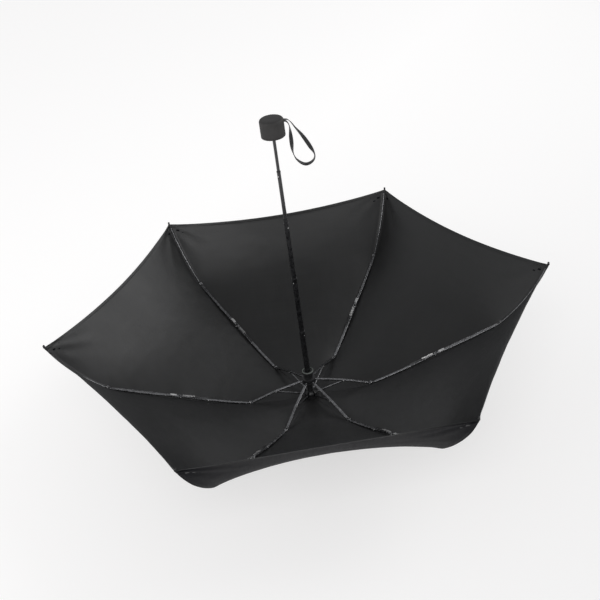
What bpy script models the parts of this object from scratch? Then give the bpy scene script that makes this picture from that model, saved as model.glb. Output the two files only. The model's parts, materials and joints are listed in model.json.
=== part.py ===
"""A small five-fold umbrella with six ribs, open and standing on its ferrule with the handle up.

Metres, +Z up. The origin is the middle of the ferrule's flat tip and +Z runs along the shaft to the
handle. The first rib lies along +X, and the others follow every 60 degrees.

Each rib is a chain in one plane: top rib, stretcher, second rib, third rib, end rib. Every member is
modelled along its own +X from the pivot it is hinged on, with +Z towards the handle's side, and with
the canopy on its -Z side. Neighbours alternate between a tongue with an eye and a fork with a rivet,
and their bodies lie to one side of the pivot, so that they fold flat beside each other.
"""

import math

import bmesh
import bpy
from mathutils import Matrix, Vector

# Clearance between pieces that touch or turn in each other
GAP = 0.0003

# Rib linkage, in the plane of one rib
RIBS = 6
PIVOT_RADIUS = 0.009  # of the rings of pivots in the crown and in the runner
CROWN_PIVOT_Z = 0.020
TOP_RIB_LENGTH = 0.054
TOP_RIB_ANGLE = 15.5  # degrees above the horizontal, as are the next three
SECOND_RIB_ANGLE = 17.2
THIRD_RIB_ANGLE = 21.2
END_RIB_ANGLE = 50.8
STRETCHER_REACH = 0.0517  # from the top rib's end to the second rib
SECOND_RIB_LENGTH = 0.1255
THIRD_RIB_LENGTH = 0.130
END_RIB_LENGTH = 0.1388
SECOND_RIB_BOW = 0.0022  # the canopy's pull bends the outer ribs
THIRD_RIB_BOW = 0.0018
END_RIB_BOW = 0.009

# Rib sections
CHANNEL_WIDTH = 0.0044
CHANNEL_WALL = 0.0007
TONGUE_WIDTH = 0.0022
TONGUE_SINK = 0.004  # how far a tongue runs on between its channel's walls
TONGUE_STEP = 0.0004  # from a tongue's upper edge to the outside of its channel's web
HALF_DEPTH = 0.0012
BODY_OFFSET = 0.0017  # from a pivot to the middle of the member's body
LUG_RADIUS = 0.0018
LUG = ((-0.0012, 0.0014), (-0.0004, 0.0018), (0.0006, 0.0018), (0.0013, 0.0013))  # (past the pivot, rise)
EYE_RADIUS = 0.0016
EYE_HOLE_RADIUS = 0.00095
PIN_RADIUS = 0.0006
RIVET_HEAD_RADIUS = 0.00115
RIVET_HEAD_HEIGHT = 0.0004
TONGUE_LENGTH = 0.005  # from a pivot to the start of the full-width body
BLADE_LENGTH = 0.0065  # the same at the runner, where the stretcher runs into a slot
BAR_INSET = 0.0025  # from the top rib's pivots to its straight edges
WIRE_RADIUS = 0.001  # of the end rib
LINK_RIVET_AT = 0.0755  # from the second rib's inner pivot

# Shaft: five tubes, the first one in the crown
TUBE_ENDS = (0.155, 0.263, 0.369, 0.463, 0.5462)
TUBE_FOOT_Z = 0.0085
TUBE_OVERLAP = 0.014
TUBE_RADIUS = 0.005
TUBE_STEP = 0.0006  # each tube's radius is this much smaller than the last one's
TUBE_WALL = 0.00035
BEAD_Z = 0.0415  # rolled bead that the open runner rests above
BEAD = ((0, -0.0008), (0.0006, -0.0002), (0.0006, 0.0002), (0, 0.0008))  # (out, up) from the tube
STUD_DROP = 0.009  # from a tube's end to its spring stud
STUD_RADIUS = 0.0012
STUD_RISE = 0.0001  # out of the tube
STUD_TURNS = (-50, -130, -50, -130)  # degrees about the shaft

# Crown, runner and ferrule cap
RING_RADIUS = 0.012
RING_CORE_RADIUS = 0.0066
RING_WIRE_RADIUS = 0.0005
SLOT_WIDTH = 0.003
CROWN_LOW, CROWN_HIGH = 0.0135, 0.026
CROWN_FLOOR = 0.002  # solid disc below the crown's slots
CROWN_CHAMFER = 0.003
RUNNER_HALF_RING = 0.0045
RUNNER_SHOULDER = 0.0008  # height of the slope from the ring to the neck
RUNNER_NECK_RADIUS = 0.0078
RUNNER_FLANGE_RADIUS = 0.0104
RUNNER_FLANGE_EDGE = 0.0025
RUNNER_FLANGE_CHAMFER = 0.0005
RUNNER_TOP_Z = 0.0681
RUNNER_BORE = 0.0057
BUTTON_Z = 0.059
BUTTON_RADIUS = 0.0025
BUTTON_LENGTH = 0.0025
BUTTON_CHAMFER = 0.0005
BUTTON_RISE = 0.0014  # out of the runner's neck
BUTTON_POCKET_DEPTH = 0.004
CAP_TIP_RADIUS = 0.004
CAP_RADIUS = 0.0122
CAP_WAIST = ((0.0048, 0.0007), (0.0056, 0.0045), (0.0068, 0.0080), (0.0092, 0.0098))  # (radius, height)
CAP_EDGE_Z = 0.0106
CAP_TOP_Z = 0.012

# Handle
HANDLE_LOW, HANDLE_HIGH = 0.5238, 0.5541
HANDLE_RADIUS = 0.0195
GRIP_WALL = 0.0022
HANDLE_ROUNDING = 0.003
HANDLE_LIP = (0.0012, 0.0015)  # width and height of the chamfer round the open end
CAVITY_RADIUS = 0.006
CAVITY_DEPTH = 0.0125
STRAP_SLOT_Z = 0.5475
STRAP_SLOT_WIDTH = 0.0074
STRAP_SLOT_HEIGHT = 0.0048

# Wrist strap: the ribbon's middle line, from the slot round the loop and back
STRAP_RADIUS = 0.0008
STRAP_POINTS = 48
STRAP_ROUTE = (
    (0.0178, 0.0000, 0.5462),
    (0.0210, -0.0004, 0.5462),
    (0.0244, -0.0016, 0.5440),
    (0.0267, -0.0038, 0.5372),
    (0.0266, -0.0062, 0.5180),
    (0.0266, -0.0078, 0.4960),
    (0.0312, -0.0086, 0.4820),
    (0.0433, -0.0090, 0.4722),
    (0.0553, -0.0088, 0.4752),
    (0.0600, -0.0083, 0.4850),
    (0.0537, -0.0072, 0.5020),
    (0.0444, -0.0056, 0.5204),
    (0.0353, -0.0038, 0.5345),
    (0.0296, -0.0024, 0.5440),
    (0.0250, -0.0010, 0.5482),
    (0.0210, -0.0003, 0.5488),
    (0.0178, 0.0000, 0.5488),
)

# Canopy: the solid lies on the ribs' outer side
FABRIC_INNER = 0.0040  # from the pivots to the fabric's near face
FABRIC_OUTER = 0.0048
FABRIC_HOLE_RADIUS = 0.0065
FABRIC_HEM = 0.94  # share of the end rib that the corner reaches
FABRIC_HEM_MIDDLE = 0.885  # the same for the middle of the hem, which is cut in
FABRIC_SAG = 0.006  # how far the hem's middle is pulled in from the straight chord
GORE_COLUMNS = 4
END_RIB_ROWS = 5

# Rib tips
TIP_LENGTH = 0.012
TIP_RADIUS = 0.002
TIP_SOCKET = 0.0065
TIP_WAIST = 0.8  # share of the tip's radius
TIP_WAIST_AT = 0.003  # from the tip's end
TIP_BEAD_AT = 0.0015
TIP_END = 0.5  # share of the tip's radius

ROUND = 28  # sides of a large turned piece
TUBE_SIDES = 20
SMALL_SIDES = 10
PIN_SIDES = 6
CUT_PAST = 0.001  # how far a cutter runs on past the piece that it cuts

FINISHES = {
    "fabric": ((0.030, 0.030, 0.033), 0.85, 0.0),
    "lacquered_steel": ((0.028, 0.028, 0.030), 0.35, 0.6),
    "plated_steel": ((0.45, 0.45, 0.46), 0.30, 1.0),
    "black_plastic": ((0.022, 0.022, 0.023), 0.45, 0.0),
    "rubber": ((0.045, 0.044, 0.043), 0.75, 0.0),
    "webbing": ((0.015, 0.015, 0.016), 0.80, 0.0),
}


def finish(name):
    """The material of this name, made on first use."""
    material = bpy.data.materials.get(name)
    if material is None:
        colour, roughness, metallic = FINISHES[name]
        material = bpy.data.materials.new(name)
        material.use_nodes = True
        shader = material.node_tree.nodes["Principled BSDF"]
        shader.inputs["Base Color"].default_value = (*colour, 1.0)
        shader.inputs["Roughness"].default_value = roughness
        shader.inputs["Metallic"].default_value = metallic
    return material


# ---------------------------------------------------------------- making shapes


def make_object(name, verts, faces):
    """An object from vertices and faces, with its faces turned outwards."""
    mesh = bpy.data.meshes.new(name)
    mesh.from_pydata([tuple(v) for v in verts], [], faces)
    shape = bmesh.new()
    shape.from_mesh(mesh)
    bmesh.ops.recalc_face_normals(shape, faces=shape.faces)
    shape.to_mesh(mesh)
    shape.free()
    obj = bpy.data.objects.new(name, mesh)
    bpy.context.collection.objects.link(obj)
    return obj


def dress(obj, material, sharp_angle=35):
    """Give an object its finish and smooth shading with sharp edges."""
    obj.data.materials.clear()
    obj.data.materials.append(finish(material))
    obj.data.shade_smooth()
    obj.data.set_sharp_from_angle(angle=math.radians(sharp_angle))
    return obj


def combine(base, tool, operation):
    """Join a tool to a base, or cut it away, and delete the tool."""
    step = base.modifiers.new(operation, "BOOLEAN")
    step.operation = operation
    step.object = tool
    graph = bpy.context.evaluated_depsgraph_get()
    mesh = bpy.data.meshes.new_from_object(base.evaluated_get(graph))
    base.modifiers.clear()
    base.data = mesh
    bpy.data.objects.remove(tool)
    return base


def turned(name, outline, sides=ROUND):
    """Turn an outline of (radius, height) points about Z.

    The outline is a closed ring, or starts and ends at radius 0."""
    verts, rings, faces = [], [], []
    for radius, height in outline:
        first = len(verts)
        if radius == 0:
            verts.append((0, 0, height))
            rings.append([first] * sides)
            continue
        for i in range(sides):
            turn = math.tau * i / sides
            verts.append((radius * math.cos(turn), radius * math.sin(turn), height))
        rings.append(list(range(first, first + sides)))
    on_axis = outline[0][0] == 0
    following = rings[1:] if on_axis else rings[1:] + rings[:1]
    for low, high in zip(rings, following):
        for i in range(sides):
            j = (i + 1) % sides
            face = list(dict.fromkeys((low[i], low[j], high[j], high[i])))
            if len(face) > 2:
                faces.append(face)
    return make_object(name, verts, faces)


def arc(centre, radius, start, end, steps):
    """Points on an arc, angles in degrees."""
    angles = [math.radians(start + (end - start) * i / steps) for i in range(steps + 1)]
    return [(centre[0] + radius * math.cos(a), centre[1] + radius * math.sin(a)) for a in angles]


def plate(name, outline, half_width):
    """An outline in the XZ plane, given thickness along Y."""
    count = len(outline)
    verts = [(x, y, z) for y in (-half_width, half_width) for x, z in outline]
    faces = [list(range(count)), list(range(2 * count - 1, count - 1, -1))]
    faces += [(i, (i + 1) % count, (i + 1) % count + count, i + count) for i in range(count)]
    return make_object(name, verts, faces)


def box(name, low, high):
    """A box from its lowest to its highest corner."""
    outline = [(low[0], low[2]), (high[0], low[2]), (high[0], high[2]), (low[0], high[2])]
    obj = plate(name, outline, (high[1] - low[1]) / 2)
    obj.data.transform(Matrix.Translation((0, (low[1] + high[1]) / 2, 0)))
    return obj


def cross_pin(name, x, z, radius, half_length, head=None, sides=PIN_SIDES):
    """A pin along Y through (x, z), with a low coned head at each end where a head radius is given."""
    if head is None:
        outline = [(0, -half_length), (radius, -half_length), (radius, half_length), (0, half_length)]
    else:
        root = half_length - CHANNEL_WALL / 2
        crown = half_length + RIVET_HEAD_HEIGHT
        outline = [(0, -crown), (head, -root), (radius, -root)]
        outline += [(r, -h) for r, h in reversed(outline)]
    pin = turned(name, outline, sides)
    pin.data.transform(Matrix.Translation((x, 0, z)) @ Matrix.Rotation(math.radians(90), 4, "X"))
    return pin


# ---------------------------------------------------------------- rib members


def offset_line(length, start, end, bow=0.0):
    """Height of a member's middle line over its chord: from start to end, bowed towards the canopy."""

    def height(x):
        share = x / length
        return start + (end - start) * share - 4 * bow * share * (1 - share)

    return height


def channel(name, stations):
    """A U-section open towards -Z through stations (x, low, high, has_web), in order of x.

    Where a station has no web, the two walls go on by themselves as the cheeks of a fork."""
    half, inner = CHANNEL_WIDTH / 2, CHANNEL_WIDTH / 2 - CHANNEL_WALL
    verts = []
    for x, low, high, _ in stations:
        web = high - CHANNEL_WALL
        section = ((-half, low), (-half, high), (half, high), (half, low))
        section += ((inner, low), (inner, web), (-inner, web), (-inner, low))
        verts += [(x, y, z) for y, z in section]
    left, right, web = (0, 1, 6, 7), (2, 3, 4, 5), (1, 2, 5, 6)
    whole = tuple(range(8))
    faces = []

    def cap(station, loop):
        faces.append([8 * station + k for k in loop])

    def skin(station, loop):
        for a, b in zip(loop, loop[1:] + loop[:1]):
            faces.append([8 * station + a, 8 * station + b, 8 * station + 8 + b, 8 * station + 8 + a])

    last = len(stations) - 1
    webbed = [stations[i][3] and stations[i + 1][3] for i in range(last)]
    for i, has_web in enumerate(webbed):
        for loop in (whole,) if has_web else (left, right):
            skin(i, loop)
        if i and has_web != webbed[i - 1]:
            cap(i, web)
    for station, has_web in ((0, webbed[0]), (last, webbed[-1])):
        for loop in (left, right) + ((web,) if has_web else ()):
            cap(station, loop)
    return make_object(name, verts, faces)


def body_stations(start, end, middle, count=6):
    """Evenly spaced stations of a channel's body between two places."""
    places = [start + (end - start) * i / (count - 1) for i in range(count)]
    return [(x, middle(x) - HALF_DEPTH, middle(x) + HALF_DEPTH, True) for x in places]


def fork_stations(pivot, outward, middle, lug_side):
    """Stations of a fork's cheeks around a pivot, from the body's end to the fork's tip.

    outward is +1 where the fork points along +X. lug_side is +1 where the cheeks rise towards +Z."""
    stations = []
    for past, rise in ((-2 * LUG_RADIUS, None),) + LUG + ((1.05 * LUG_RADIUS, 0.3 * LUG_RADIUS),):
        x = pivot + outward * past
        near = middle(pivot) + lug_side * HALF_DEPTH if rise is None else lug_side * rise
        rounding = max(0.0, past - 0.5 * LUG_RADIUS)
        far = middle(pivot) - lug_side * (HALF_DEPTH - rounding)
        stations.append((x, min(near, far), max(near, far), False))
    return stations if outward > 0 else stations[::-1]


def tongue(name, pivot, inward, middle, end):
    """A flat tongue with an eye round the pivot, running inward (+1 or -1 along X) to x = end."""
    start = middle(pivot + inward * TONGUE_LENGTH)
    root = middle(end)
    eye = arc((0, 0), EYE_RADIUS, 70, 290, 6)
    reach = abs(end - pivot)
    strap = [(TONGUE_LENGTH, start - HALF_DEPTH), (reach, root - HALF_DEPTH)]
    strap += [(reach, root + HALF_DEPTH - TONGUE_STEP), (TONGUE_LENGTH, start + HALF_DEPTH - TONGUE_STEP)]
    outline = [(pivot + inward * x, z) for x, z in eye + strap]
    shape = plate(name, outline, TONGUE_WIDTH / 2)
    hole = cross_pin("hole", pivot, 0, EYE_HOLE_RADIUS, TONGUE_WIDTH)
    return combine(shape, hole, "DIFFERENCE")


def rivet(x):
    """A rivet along Y at the pivot height, through both cheeks of a channel."""
    return cross_pin("rivet", x, 0, PIN_RADIUS, CHANNEL_WIDTH / 2, RIVET_HEAD_RADIUS)


def top_rib():
    """Flat bar with an eye at each end, for the crown's wire and for the stretcher's rivet."""
    bar = TOP_RIB_LENGTH - BAR_INSET
    outline = arc((0, 0), EYE_RADIUS, 125, 235, 4)
    outline += [(BAR_INSET, -HALF_DEPTH), (bar, -HALF_DEPTH)]
    outline += arc((TOP_RIB_LENGTH, 0), EYE_RADIUS, -55, 55, 4)
    outline += [(bar, HALF_DEPTH), (BAR_INSET, HALF_DEPTH)]
    shape = plate("top_rib", outline, TONGUE_WIDTH / 2)
    for x in (0, TOP_RIB_LENGTH):
        combine(shape, cross_pin("hole", x, 0, EYE_HOLE_RADIUS, TONGUE_WIDTH), "DIFFERENCE")
    return shape


def stretcher():
    """Channel hinged on the top rib's end, with a blade into the runner and a fork for the second rib."""
    inner = offset_line(TOP_RIB_LENGTH, BODY_OFFSET, 0)
    outer = offset_line(STRETCHER_REACH, BODY_OFFSET, -BODY_OFFSET)
    blade_root = TOP_RIB_LENGTH - BLADE_LENGTH
    stations = [(-blade_root, inner(blade_root) - HALF_DEPTH, inner(blade_root) + HALF_DEPTH, True)]
    for x, drop in ((-2 * LUG_RADIUS, None),) + LUG + ((2 * LUG_RADIUS, None),):
        line = inner(-x) if x < 0 else outer(x)
        low = line - HALF_DEPTH if drop is None else -drop
        stations.append((x, low, line + HALF_DEPTH, True))
    web_end = STRETCHER_REACH - TONGUE_LENGTH
    stations.append((web_end, outer(web_end) - HALF_DEPTH, outer(web_end) + HALF_DEPTH, True))
    stations += fork_stations(STRETCHER_REACH, 1, outer, 1)
    shape = channel("stretcher", stations)
    blade = tongue("blade", -TOP_RIB_LENGTH, 1, lambda x: inner(-x), -blade_root + TONGUE_SINK)
    combine(shape, blade, "UNION")
    combine(shape, rivet(0), "UNION")
    return combine(shape, rivet(STRETCHER_REACH), "UNION")


def second_rib():
    """Channel with a tongue at each end and a rivet for the linkage part way along."""
    middle = offset_line(SECOND_RIB_LENGTH, -BODY_OFFSET, BODY_OFFSET, SECOND_RIB_BOW)
    start, end = TONGUE_LENGTH, SECOND_RIB_LENGTH - TONGUE_LENGTH
    shape = channel("second_rib", body_stations(start, end, middle))
    combine(shape, tongue("inner", 0, 1, middle, start + TONGUE_SINK), "UNION")
    combine(shape, tongue("outer", SECOND_RIB_LENGTH, -1, middle, end - TONGUE_SINK), "UNION")
    link = rivet(LINK_RIVET_AT)
    link.data.transform(Matrix.Translation((0, 0, middle(LINK_RIVET_AT))))
    return combine(shape, link, "UNION")


def third_rib():
    """Channel with a fork and a rivet at each end."""
    middle = offset_line(THIRD_RIB_LENGTH, BODY_OFFSET, -BODY_OFFSET, THIRD_RIB_BOW)
    stations = fork_stations(0, -1, middle, -1)
    stations += body_stations(TONGUE_LENGTH, THIRD_RIB_LENGTH - TONGUE_LENGTH, middle)
    stations += fork_stations(THIRD_RIB_LENGTH, 1, middle, 1)
    shape = channel("third_rib", stations)
    combine(shape, rivet(0), "UNION")
    return combine(shape, rivet(THIRD_RIB_LENGTH), "UNION")


def end_rib_line(x):
    """Height of the end rib's middle line: bowed, and straight inside the tip's socket."""
    middle = offset_line(END_RIB_LENGTH, -BODY_OFFSET, 0, END_RIB_BOW)
    straight = END_RIB_LENGTH - TIP_LENGTH
    if x <= straight:
        return middle(x)
    return middle(straight) * (END_RIB_LENGTH - x) / TIP_LENGTH


def end_rib():
    """Curved wire with a flattened tongue."""
    end = END_RIB_LENGTH - TIP_SOCKET - 2 * GAP
    curved = END_RIB_LENGTH - TIP_LENGTH - TONGUE_LENGTH
    places = [TONGUE_LENGTH + curved * i / 8 for i in range(9)] + [end]
    sides = 6
    verts, faces = [], []
    for x in places:
        for k in range(sides):
            turn = math.tau * (k + 0.5) / sides
            verts.append((x, WIRE_RADIUS * math.cos(turn), end_rib_line(x) + WIRE_RADIUS * math.sin(turn)))
    for i in range(len(places) - 1):
        for k in range(sides):
            a, b = i * sides + k, i * sides + (k + 1) % sides
            faces.append((a, b, b + sides, a + sides))
    faces += [list(range(sides)), list(range(len(verts) - sides, len(verts)))]
    shape = make_object("end_rib", verts, faces)
    return combine(shape, tongue("flat", 0, 1, end_rib_line, TONGUE_LENGTH + TONGUE_SINK / 2), "UNION")


def rib_tip():
    """Moulded nub with a socket for the end rib, along +X from the socket's mouth at 0."""
    bore = WIRE_RADIUS + GAP
    floor = TIP_LENGTH - TIP_SOCKET + GAP
    outline = [(0, floor), (bore, floor), (bore, 0), (TIP_RADIUS, 0)]
    outline += [(TIP_RADIUS * TIP_WAIST, TIP_LENGTH - TIP_WAIST_AT), (TIP_RADIUS, TIP_LENGTH - TIP_BEAD_AT)]
    outline += [(TIP_RADIUS * TIP_END, TIP_LENGTH), (0, TIP_LENGTH)]
    shape = turned("rib_tip", outline, SMALL_SIDES)
    shape.data.transform(Matrix.Rotation(math.radians(90), 4, "Y"))
    return shape


def along(start, length, angle):
    """The point at this distance and angle above the horizontal, in a rib's plane."""
    turn = math.radians(angle)
    return Vector((start[0] + length * math.cos(turn), start[1] + length * math.sin(turn)))


def linkage():
    """The pivots of one rib as (distance from the axis, height)."""
    pivots = {"crown": Vector((PIVOT_RADIUS, CROWN_PIVOT_Z))}
    pivots["stretcher"] = along(pivots["crown"], TOP_RIB_LENGTH, TOP_RIB_ANGLE)
    rise = 2 * TOP_RIB_LENGTH * math.sin(math.radians(TOP_RIB_ANGLE))
    pivots["runner"] = Vector((PIVOT_RADIUS, CROWN_PIVOT_Z + rise))
    pivots["second"] = along(pivots["stretcher"], STRETCHER_REACH, -TOP_RIB_ANGLE)
    pivots["third"] = along(pivots["second"], SECOND_RIB_LENGTH, SECOND_RIB_ANGLE)
    pivots["end"] = along(pivots["third"], THIRD_RIB_LENGTH, THIRD_RIB_ANGLE)
    return pivots


def place(name, mesh, pivot, angle, azimuth):
    """An object that shares a member's mesh, put on its pivot in a rib's plane."""
    obj = bpy.data.objects.new(name, mesh)
    bpy.context.collection.objects.link(obj)
    turn = math.radians(azimuth)
    obj.location = (pivot[0] * math.cos(turn), pivot[0] * math.sin(turn), pivot[1])
    obj.rotation_euler = (0, -math.radians(angle), turn)
    return obj


def build_ribs(pivots):
    """Six ribs, each of five members and a tip."""
    tip_mouth = END_RIB_LENGTH - TIP_LENGTH
    slope = -end_rib_line(tip_mouth) / TIP_LENGTH
    mouth = along(pivots["end"], tip_mouth, END_RIB_ANGLE)
    mouth += along((0, 0), end_rib_line(tip_mouth), END_RIB_ANGLE + 90)
    members = (
        (top_rib(), "lacquered_steel", pivots["crown"], TOP_RIB_ANGLE),
        (stretcher(), "lacquered_steel", pivots["stretcher"], -TOP_RIB_ANGLE),
        (second_rib(), "lacquered_steel", pivots["second"], SECOND_RIB_ANGLE),
        (third_rib(), "lacquered_steel", pivots["third"], THIRD_RIB_ANGLE),
        (end_rib(), "lacquered_steel", pivots["end"], END_RIB_ANGLE),
        (rib_tip(), "black_plastic", mouth, END_RIB_ANGLE + math.degrees(math.atan(slope))),
    )
    for pattern, material, pivot, angle in members:
        dress(pattern, material)
        for number in range(RIBS):
            place(f"{pattern.name}_{number + 1}", pattern.data, pivot, angle, number * 360 / RIBS)
        bpy.data.objects.remove(pattern)


# ---------------------------------------------------------------- shaft, crown and runner


def cut_slots(shape, low, high):
    """Cut the radial slots for the ribs between two heights."""
    for number in range(RIBS):
        slot = box("slot", (RING_CORE_RADIUS, -SLOT_WIDTH / 2, low), (2 * RING_RADIUS, SLOT_WIDTH / 2, high))
        slot.data.transform(Matrix.Rotation(math.tau * number / RIBS, 4, "Z"))
        combine(shape, slot, "DIFFERENCE")


def ring_wire(name, height):
    """The wire ring that a set of eyes turns on."""
    section = arc((PIVOT_RADIUS, height), RING_WIRE_RADIUS, 0, 300, 5)
    return dress(turned(name, section, TUBE_SIDES), "plated_steel")


def groove(height):
    """The outer edge of a ring, with the groove that its wire lies in, from the bottom up."""
    floor = PIVOT_RADIUS - RING_WIRE_RADIUS - GAP
    low, high = height - RING_WIRE_RADIUS - GAP, height + RING_WIRE_RADIUS + GAP
    return [(RING_RADIUS, low), (floor, low), (floor, high), (RING_RADIUS, high)]


def build_crown():
    """Notched crown, its wire, and the cap that clamps the fabric against it."""
    bore = TUBE_RADIUS + GAP
    outline = [(bore, CROWN_LOW), (RING_RADIUS, CROWN_LOW)] + groove(CROWN_PIVOT_Z)
    outline += [(RING_RADIUS, CROWN_HIGH - CROWN_CHAMFER), (RING_RADIUS - CROWN_CHAMFER, CROWN_HIGH)]
    outline += [(bore, CROWN_HIGH)]
    crown = turned("crown", outline, TUBE_SIDES)
    cut_slots(crown, CROWN_LOW + CROWN_FLOOR, CROWN_HIGH + CUT_PAST)
    dress(crown, "black_plastic")
    ring_wire("crown_wire", CROWN_PIVOT_Z)

    seat = TUBE_FOOT_Z - GAP
    outline = [(0, 0), (CAP_TIP_RADIUS, 0), *CAP_WAIST, (CAP_RADIUS, CAP_EDGE_Z), (CAP_RADIUS, CAP_TOP_Z)]
    outline += [(bore, CAP_TOP_Z), (bore, seat), (0, seat)]
    dress(turned("ferrule_cap", outline), "black_plastic")


def build_runner(pivot_z):
    """Sliding collar with a notched ring, its wire and its release button."""
    low, high = pivot_z - RUNNER_HALF_RING, pivot_z + RUNNER_HALF_RING
    outline = [(RUNNER_BORE, low), (RING_RADIUS, low)] + groove(pivot_z)
    outline += [(RING_RADIUS, high), (RUNNER_NECK_RADIUS, high + RUNNER_SHOULDER)]
    flange_low = RUNNER_TOP_Z - RUNNER_FLANGE_EDGE
    outline += [(RUNNER_NECK_RADIUS, flange_low - CUT_PAST), (RUNNER_FLANGE_RADIUS, flange_low)]
    outline += [(RUNNER_FLANGE_RADIUS, RUNNER_TOP_Z - RUNNER_FLANGE_CHAMFER)]
    outline += [(RUNNER_FLANGE_RADIUS - RUNNER_FLANGE_CHAMFER, RUNNER_TOP_Z), (RUNNER_BORE, RUNNER_TOP_Z)]
    runner = turned("runner", outline, TUBE_SIDES)
    cut_slots(runner, low - CUT_PAST, pivot_z + EYE_RADIUS + 2 * GAP)
    pocket = cross_pin("pocket", 0, BUTTON_Z, BUTTON_RADIUS + GAP, BUTTON_POCKET_DEPTH, sides=16)
    pocket.data.transform(Matrix.Translation((0, RUNNER_NECK_RADIUS, 0)))
    dress(combine(runner, pocket, "DIFFERENCE"), "black_plastic")
    ring_wire("runner_wire", pivot_z)

    outline = [(0, -BUTTON_LENGTH), (BUTTON_RADIUS, -BUTTON_LENGTH), (BUTTON_RADIUS, -BUTTON_CHAMFER)]
    outline += [(BUTTON_RADIUS - BUTTON_CHAMFER, 0), (0, 0)]
    button = turned("release_button", outline, 16)
    button.location = (0, RUNNER_NECK_RADIUS + BUTTON_RISE, BUTTON_Z)
    button.rotation_euler = (math.radians(-90), 0, 0)
    dress(button, "black_plastic")


def tube_foot(number):
    """Height of a tube's lower end."""
    return TUBE_FOOT_Z if number == 0 else TUBE_ENDS[number - 1] - TUBE_OVERLAP


def build_shaft():
    """Five telescoping tubes and the spring studs in four of them."""
    for number, end in enumerate(TUBE_ENDS):
        outer = TUBE_RADIUS - number * TUBE_STEP
        inner = outer - TUBE_WALL
        outline = [(inner, tube_foot(number)), (outer, tube_foot(number))]
        if number == 0:
            outline += [(outer + out, BEAD_Z + up) for out, up in BEAD]
        outline += [(outer, end), (inner, end)]
        tube = turned(f"shaft_tube_{number + 1}", outline, TUBE_SIDES)
        if number < len(STUD_TURNS):
            add_stud(tube, number, outer, end - STUD_DROP)
        dress(tube, "lacquered_steel")


def add_stud(tube, number, outer, height):
    """Bore a tube for its spring stud, and make the stud."""
    turn = Matrix.Rotation(math.radians(STUD_TURNS[number] + 90), 4, "Z")
    hole = cross_pin("hole", 0, height, STUD_RADIUS + GAP, outer, sides=SMALL_SIDES)
    hole.data.transform(turn @ Matrix.Translation((0, -outer, 0)))
    combine(tube, hole, "DIFFERENCE")
    low, shoulder, high = outer - TUBE_WALL, outer - STUD_RISE, outer + STUD_RISE
    outline = [(0, low), (STUD_RADIUS, low), (STUD_RADIUS, shoulder), (STUD_RADIUS * 0.6, high), (0, high)]
    stud = turned(f"spring_stud_{number + 1}", outline, SMALL_SIDES)
    stud.location = (0, 0, height)
    stud.rotation_euler = (math.radians(90), 0, math.radians(STUD_TURNS[number] + 90))
    dress(stud, "plated_steel")


# ---------------------------------------------------------------- handle and strap


def build_handle():
    """Rubber-coated grip, shaped like a cup, and the core that the last tube is fixed in."""
    inner = HANDLE_RADIUS - GRIP_WALL
    ceiling = HANDLE_HIGH - GRIP_WALL
    corner = (HANDLE_RADIUS - HANDLE_ROUNDING, HANDLE_HIGH - HANDLE_ROUNDING)
    outline = [(0, ceiling), (inner, ceiling), (inner, HANDLE_LOW)]
    outline += [(HANDLE_RADIUS - HANDLE_LIP[0], HANDLE_LOW), (HANDLE_RADIUS, HANDLE_LOW + HANDLE_LIP[1])]
    outline += arc(corner, HANDLE_ROUNDING, 0, 90, 4) + [(0, HANDLE_HIGH)]
    grip = turned("handle_grip", outline)
    half_width, half_height = STRAP_SLOT_WIDTH / 2, STRAP_SLOT_HEIGHT / 2
    slot = box(
        "slot",
        (inner - CUT_PAST, -half_width, STRAP_SLOT_Z - half_height),
        (2 * HANDLE_RADIUS, half_width, STRAP_SLOT_Z + half_height),
    )
    dress(combine(grip, slot, "DIFFERENCE"), "rubber")

    bore = TUBE_RADIUS - 4 * TUBE_STEP + GAP
    low, high = HANDLE_LOW + 2 * GAP, ceiling - GAP
    core_radius = inner - GAP
    step = low + CAVITY_DEPTH
    top = TUBE_ENDS[-1] + 2 * GAP
    outline = [(0, high), (core_radius, high), (core_radius, low), (CAVITY_RADIUS, low)]
    outline += [(CAVITY_RADIUS, step), (bore, step), (bore, top), (0, top)]
    dress(turned("handle_core", outline[::-1], TUBE_SIDES), "black_plastic")


def smooth_route(route, count):
    """Evenly numbered points on a Catmull-Rom curve through the route's own points."""
    points = [Vector(p) for p in route]
    ends = [2 * points[0] - points[1]] + points + [2 * points[-1] - points[-2]]
    curve = []
    for i in range(count):
        place_on = (len(points) - 1) * i / (count - 1)
        k = min(int(place_on), len(points) - 2)
        t = place_on - k
        p0, p1, p2, p3 = ends[k : k + 4]
        slope, bend = p2 - p0, 2 * p0 - 5 * p1 + 4 * p2 - p3
        curve.append(p1 + 0.5 * t * (slope + t * (bend + t * (3 * p1 - p0 - 3 * p2 + p3))))
    return curve


def build_strap():
    """The wrist strap's loop, as a thin tube along the ribbon's middle line."""
    curve = bpy.data.curves.new("strap", "CURVE")
    curve.dimensions = "3D"
    curve.bevel_depth = STRAP_RADIUS
    curve.bevel_resolution = 2
    curve.use_fill_caps = True
    spline = curve.splines.new("POLY")
    route = smooth_route(STRAP_ROUTE, STRAP_POINTS)
    spline.points.add(len(route) - 1)
    for point, place_on in zip(spline.points, route):
        point.co = (*place_on, 1)
    strap = bpy.data.objects.new("strap", curve)
    bpy.context.collection.objects.link(strap)
    curve.materials.append(finish("webbing"))


# ---------------------------------------------------------------- canopy


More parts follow.
